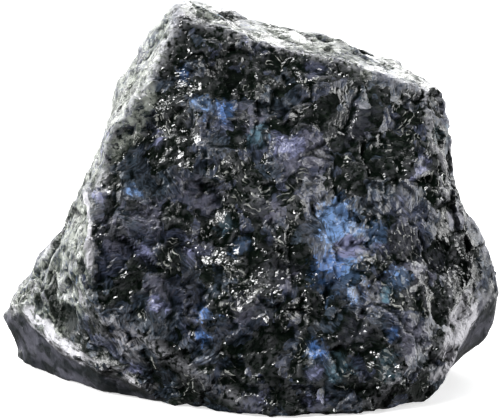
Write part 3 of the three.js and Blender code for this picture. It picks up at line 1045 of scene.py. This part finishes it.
# %% Crust of the old joint faces, partly painted light
JOINT_DEEP, PALE_CRUST_AND_LIGHT = (0.085, 0.105, 0.080), (0.48, 0.51, 0.45)
JOINT_STRENGTH = 0.90
CRUST_GRAIN, CRUST_TONES = 1.0, (0.38, 0.60)  # mm, and noise from deep to pale
HOLE_SIZE, HOLE_EDGE = 1.3, (0.66, 0.74)  # mm, and noise from bare stone to full crust
LINES_IN_HOLES = 0.5  # how far the lines of a crystal draw out the holes
HATCHED_CRYSTALS, HATCH_STRENGTH = (0.25, 0.35), 0.8  # random numbers from unhatched to hatched
PITS_DARK = 0.04  # share of the crust that is left in a pit
PIT_EDGE = 0.4  # how deep a hollow is where its crust begins to go

joint_tone = rock.noise(turned, CRUST_GRAIN, detail=3.0, rough=0.65)
joint_tone = rock.between(joint_tone, *CRUST_TONES)
joint_colour = rock.mixed(joint_tone, JOINT_DEEP, PALE_CRUST_AND_LIGHT)
holes = rock.noise(wandering, HOLE_SIZE, detail=3.0, rough=0.6)
holes = rock.times_plus(lines, LINES_IN_HOLES, holes)
joint_cover = rock.between(holes, *HOLE_EDGE, end=JOINT_STRENGTH)
hatched_crystal = rock.between(split_random[2], *HATCHED_CRYSTALS, end=HATCH_STRENGTH)
hatched = rock.times(comb_lines, hatched_crystal)
unhatched = rock.between(hatched, start=1.0, end=0.0)
joint_cover = rock.times(joint_cover, unhatched)
joint_cover = rock.times(joint_cover, rock.attribute("joint"))
# in a pit the crust goes, so the painted shade of the hollow shows
open_pit = rock.between(hollow_place, low=PIT_EDGE, start=1.0, end=PITS_DARK)
joint_cover = rock.times(joint_cover, open_pit)
# crust and painted light: the faces that look left and up are made pale
minerals = rock.mixed(joint_cover, minerals, joint_colour)
print("nodes so far:", len(rock.nodes))

# %% Slate grey of the foot, partly painted shade
SLATE_DEEP, SLATE_PALE = (0.008, 0.012, 0.013), (0.12, 0.12, 0.15)
SLATE_LAYERS = (0.20, 0.20, 0.55)  # lumps for each mm, so a lump is 5 mm wide and 2 mm high
SLATE_TONES = (0.41, 0.68)  # noise from deep to pale
FOOT_STRENGTH = 0.93

slate_place = rock.vector("MULTIPLY", wandering, SLATE_LAYERS)
slate_tone = rock.between(rock.noise(slate_place, detail=3.0), *SLATE_TONES)
slate_and_shade = rock.mixed(slate_tone, SLATE_DEEP, SLATE_PALE)
foot_place = rock.attribute("foot")
slate_and_shade_cover = rock.times(foot_place, FOOT_STRENGTH)
# slate and painted shade: the foot and the faces that look down turn dark grey
minerals = rock.mixed(slate_and_shade_cover, minerals, slate_and_shade)
print("nodes so far:", len(rock.nodes))

# %% [markdown]
# ## Bruised edges, and pale bands of bruise and painted highlight
#
# Where a ridge has been knocked, the crystals are crushed to a white powdery skin. On chips' edges
# that is only a hint, on the ridges it is broken up by fine noise, and on the bands it is almost
# solid, with streaks that run along the band and round holes where a crystal is whole. Part of the
# white of the bands is painted highlight where a ridge or facet catches the light. A white line of
# even width would look painted, so every mask is multiplied by a noise of its own.

# %% Worn edges
WORN_FELDSPAR = (0.66, 0.66, 0.72)
RIDGE_STRENGTH, CHIP_EDGE_STRENGTH = 0.60, 0.14
GRAIN_SIZE, BRUISE_EDGE = 0.6, (0.36, 0.58)  # mm, and noise from whole to bruised
WORN_ON_FOOT = 0.3  # share of the wear that shows on the foot

grain = rock.noise(place, GRAIN_SIZE, rough=0.6)
bruise = rock.between(grain, *BRUISE_EDGE)
ridge = rock.times(rock.attribute("ridge"), RIDGE_STRENGTH)
chip_edge = rock.times(rock.attribute("chip_edge"), CHIP_EDGE_STRENGTH)
worn = rock.times(rock.maths("MAXIMUM", ridge, chip_edge), bruise)
worn = rock.times(worn, rock.between(foot_place, start=1.0, end=WORN_ON_FOOT))
worn = rock.times(worn, open_pit)
colour = rock.mixed(worn, minerals, WORN_FELDSPAR)
print("nodes so far:", len(rock.nodes))

# %% Streaky white bands of bruise and painted highlight
BRUISE_AND_HIGHLIGHT_WHITE = (0.76, 0.75, 0.80)
PALE_STRENGTH, PALE_EDGE = 0.95, (0.20, 0.95)  # most white, and where it begins and is full
SPOT_SPACING = 2.6  # mm from one hole in a band to the next
SPOT_EDGE = (0.20, 0.34)  # where the rim of a hole begins and ends, as a share of the spacing
STREAKS_PER_MM = (2.2, 0.30, 1.0)  # across the band, along it, and from band to band
STREAK_BEND = 1.8  # widths of a streak by which it wanders
STREAK_EDGE = (0.34, 0.58)  # noise from a dim streak to a bright one
STREAK_RANGE = (0.35, 1.3)  # what a dim streak and a bright one do to the white

spot = rock.node("TexVoronoi", {"Vector": wandering, "Scale": 1 / SPOT_SPACING}, "Distance")
around_spots = rock.between(spot, *SPOT_EDGE)
streak_place = rock.attribute("band_place", "Vector")
streak_place = rock.vector("MULTIPLY", streak_place, STREAKS_PER_MM)
streak_place = rock.vector("ADD", streak_place, rock.scaled(drift, STREAK_BEND))
streaks = rock.noise(streak_place, detail=3.0, rough=0.6)
streaks = rock.between(streaks, *STREAK_EDGE, *STREAK_RANGE)
bruise_and_highlight_band = rock.times(rock.attribute("pale"), streaks)
bruise_and_highlight_band = rock.between(bruise_and_highlight_band, *PALE_EDGE, end=PALE_STRENGTH)
bruise_and_highlight_band = rock.times(bruise_and_highlight_band, around_spots)
# painted highlight and bruise: the bands whiten the colour
colour = rock.mixed(bruise_and_highlight_band, colour, BRUISE_AND_HIGHLIGHT_WHITE)
# from here on, worn also holds the bands, painted highlight included, for the roughness
worn = rock.maths("MAXIMUM", worn, bruise_and_highlight_band)
print("nodes so far:", len(rock.nodes))

# %% [markdown]
# ## Shine
#
# Fresh cleavage faces are as smooth as glass, each lying at its own angle, so the dark mineral
# sparkles in combs of short strokes while the feldspar has a softer gleam. A rough surface would
# lose the sparkle. Tilting the normal by the random number of each crystal and of each splinter
# gives many small flat mirrors, and a bump from the fibres keeps them from looking like tiles.

# %% Tilt the crystal faces
CRYSTAL_TILT, SPLINTER_TILT = 0.75, 0.20
ON_FELDSPAR, MORE_ON_DARK = 0.3, 0.6  # share of the splinters' tilt on each mineral
FRESH_ON_FOOT = 0.25  # share of all tilts and bumps on the foot

facing = rock.node("NewGeometry", {}, "Normal")
fresh = rock.between(foot_place, start=1.0, end=FRESH_ON_FOOT)
crystal_lean = rock.scaled(own_offset, rock.times(fresh, CRYSTAL_TILT))
splinter_lean = rock.vector("SUBTRACT", splinter.outputs["Color"], HALVES)
splintered = rock.times_plus(dark, MORE_ON_DARK, ON_FELDSPAR)
splintered = rock.times(splintered, fresh)
splintered = rock.times(splintered, SPLINTER_TILT)
splinter_lean = rock.scaled(splinter_lean, splintered)
leaning = rock.vector("ADD", facing, rock.vector("ADD", crystal_lean, splinter_lean))
leaning = rock.vector("NORMALIZE", leaning)
print("nodes so far:", len(rock.nodes))

# %% Raise the fibres and the bright edges
FIBRE_HEIGHT, GRAIN_HEIGHT, STROKE_HEIGHT = 0.058, 0.004, 0.06  # mm

relief = rock.times(grain, GRAIN_HEIGHT)
relief = rock.times_plus(fibres, FIBRE_HEIGHT, relief)
relief = rock.times_plus(painted_glint_strokes, STROKE_HEIGHT, relief)
relief = rock.times(relief, fresh)
bump = {"Height": relief, "Normal": leaning, "Distance": MM, "Strength": 1.0}
surface = rock.node("Bump", bump)
print("nodes so far:", len(rock.nodes))

# %% [markdown]
# ## Finish
#
# Glassy where the dark mineral is fresh, satin on the feldspar and dull where the edges are
# bruised: one roughness value runs through all three. Reflections inside a pit are blocked by its
# own walls, so its gloss is turned down. A separate glossy layer could do this too, but one plain
# shader survives an export better.

# %% Finish of the stone
GLASSY, SATIN, BRUISED = 0.13, 0.34, 0.60  # roughness
UNEVEN_SIZE, UNEVEN = 0.8, 0.06  # mm, and how far the roughness goes down and up
UNEVEN_EDGE = (0.3, 0.7)  # noise where it is all the way down and up
GLOSS, GLOSS_IN_PIT = 0.5, 0.08
GLOSS_EDGE = 0.3  # how deep a hollow is where its gloss begins to go
REFRACTION = 1.55  # feldspar

uneven_gloss = rock.noise(place, UNEVEN_SIZE)
uneven_gloss = rock.between(uneven_gloss, *UNEVEN_EDGE, -UNEVEN, UNEVEN)
roughness = rock.between(dark, start=SATIN, end=GLASSY)
roughness = rock.maths("ADD", roughness, uneven_gloss)
roughness = rock.between(worn, start=roughness, end=BRUISED)
gloss = rock.between(hollow_place, low=GLOSS_EDGE, start=GLOSS, end=GLOSS_IN_PIT)
shader = rock.node(
    "BsdfPrincipled",
    {
        "Base Color": colour,
        "Roughness": roughness,
        "Normal": surface,
        "IOR": REFRACTION,
        "Specular IOR Level": gloss,
    },
)
rock.node("OutputMaterial", {"Surface": shader}, None)
print("nodes in the larvikite:", len(rock.nodes))

# %% [markdown]
# ## The table
#
# The stone stands on a white table in front of a white wall, and the two run into each other. A
# white surface under soft light comes out grey, and it throws so much light back that the dark
# front would lose its depth. So the paper shines a little by itself, and the stone neither mirrors
# it nor gets light from it.

# %% Table
FLOOR_HALF_SIZE = 3.0  # m
PAPER_WHITE, PAPER_ROUGHNESS, PAPER_GLOW = 0.8, 0.9, 0.6

floor_mesh = bpy.data.meshes.new("floor")
signs = ((-1, -1), (1, -1), (1, 1), (-1, 1))
corners = [(x * FLOOR_HALF_SIZE, y * FLOOR_HALF_SIZE, 0) for x, y in signs]
floor_mesh.from_pydata(corners, [], [(0, 1, 2, 3)])
floor = linked("floor", floor_mesh)
floor.visible_diffuse = False
floor.visible_glossy = False
floor_mesh.materials.append(bpy.data.materials.new("white_paper"))
paper = Recipe(floor_mesh.materials[0])
paper_shader = paper.node(
    "BsdfPrincipled",
    {
        "Base Color": (PAPER_WHITE, PAPER_WHITE, PAPER_WHITE, 1),
        "Roughness": PAPER_ROUGHNESS,
        "Emission Color": (1, 1, 1, 1),
        "Emission Strength": PAPER_GLOW,
    },
)
paper.node("OutputMaterial", {"Surface": paper_shader}, None)
print("floor:", 2 * FLOOR_HALF_SIZE, "m wide")

# %% [markdown]
# ## Lamps
#
# A glossy dark stone shows its relief only when the light rakes over it. The main lamp comes from
# the upper left, far off the camera's line, so each chip has a bright and a dark side. Three wide
# lamps stand for the white walls behind, to the left and to the right, which turn the top and the
# sides almost white. Panels of light would work too, but a far lamp gives the same light on every
# side of the stone, and soft shadows come from its width alone.

# %% Lamps


def lamp(name, strength, wide, height_angle, side_angle):
    """A far lamp. The side angle turns from the camera's side towards +X, in degrees."""
    data = bpy.data.lights.new(name, "SUN")
    data.energy = strength
    data.angle = math.radians(wide)
    made = bpy.data.objects.new(name, data)
    bpy.context.scene.collection.objects.link(made)
    height, side = math.radians(height_angle), math.radians(side_angle)
    towards = Vector((
        math.cos(height) * math.sin(side), -math.cos(height) * math.cos(side), math.sin(height)
    ))
    made.rotation_euler = towards.to_track_quat("Z", "Y").to_euler()
    return made


lamps = [  # strength, how wide the light is, its height and its side, in degrees
    lamp("main", 2.6, 16, 34, -56),
    lamp("back_wall", 2.9, 60, 38, 180),
    lamp("left_wall", 2.0, 40, 22, -112),
    lamp("right_wall", 2.3, 40, 12, 90),
]
print("lamps:", len(lamps))

# %% [markdown]
# ## Sky
#
# What a glossy face mirrors matters as much as what lights it. The sky is bright behind the stone,
# dim on the camera's side, straight above and below. So the top and the sides mirror the bright
# wall at a shallow angle, and the front stays deep. The camera itself sees plain white.

# %% Sky
DIM, BRIGHT = 0.06, 1.8  # strength on the camera's side and behind the stone
BELOW, OVERHEAD = 0.07, 0.08  # share of that strength below the horizon and straight above
BEHIND_EDGE = (-0.35, 0.35)  # y of a direction of length 1, from dim to bright
OVERHEAD_EDGE = (0.25, 0.75)  # z of a direction, from the wall to straight above
HORIZON_EDGE = (-0.25, 0.02)  # z of a direction, from below the horizon to the wall

bpy.context.scene.world = bpy.data.worlds.new("studio")
sky = Recipe(bpy.context.scene.world)
direction = sky.node("TexCoord", {}, "Generated")
direction = sky.node("SeparateXYZ", {"Vector": direction}, None).outputs
light = sky.between(direction["Y"], *BEHIND_EDGE, DIM, BRIGHT)
light = sky.times(light, sky.between(direction["Z"], *HORIZON_EDGE, start=BELOW))
light = sky.times(light, sky.between(direction["Z"], *OVERHEAD_EDGE, 1.0, OVERHEAD))
seen_by_camera = sky.node("LightPath", {}, "Is Camera Ray")
light = sky.maths("MAXIMUM", light, seen_by_camera)
background = sky.node("Background", {"Color": (1, 1, 1, 1), "Strength": light})
sky.node("OutputWorld", {"Surface": background}, None)
bpy.context.scene.view_settings.view_transform = "Standard"
print("sky from", DIM, "to", BRIGHT)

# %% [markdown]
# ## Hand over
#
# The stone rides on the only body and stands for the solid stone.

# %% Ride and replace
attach(stone, "root")
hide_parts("stone")
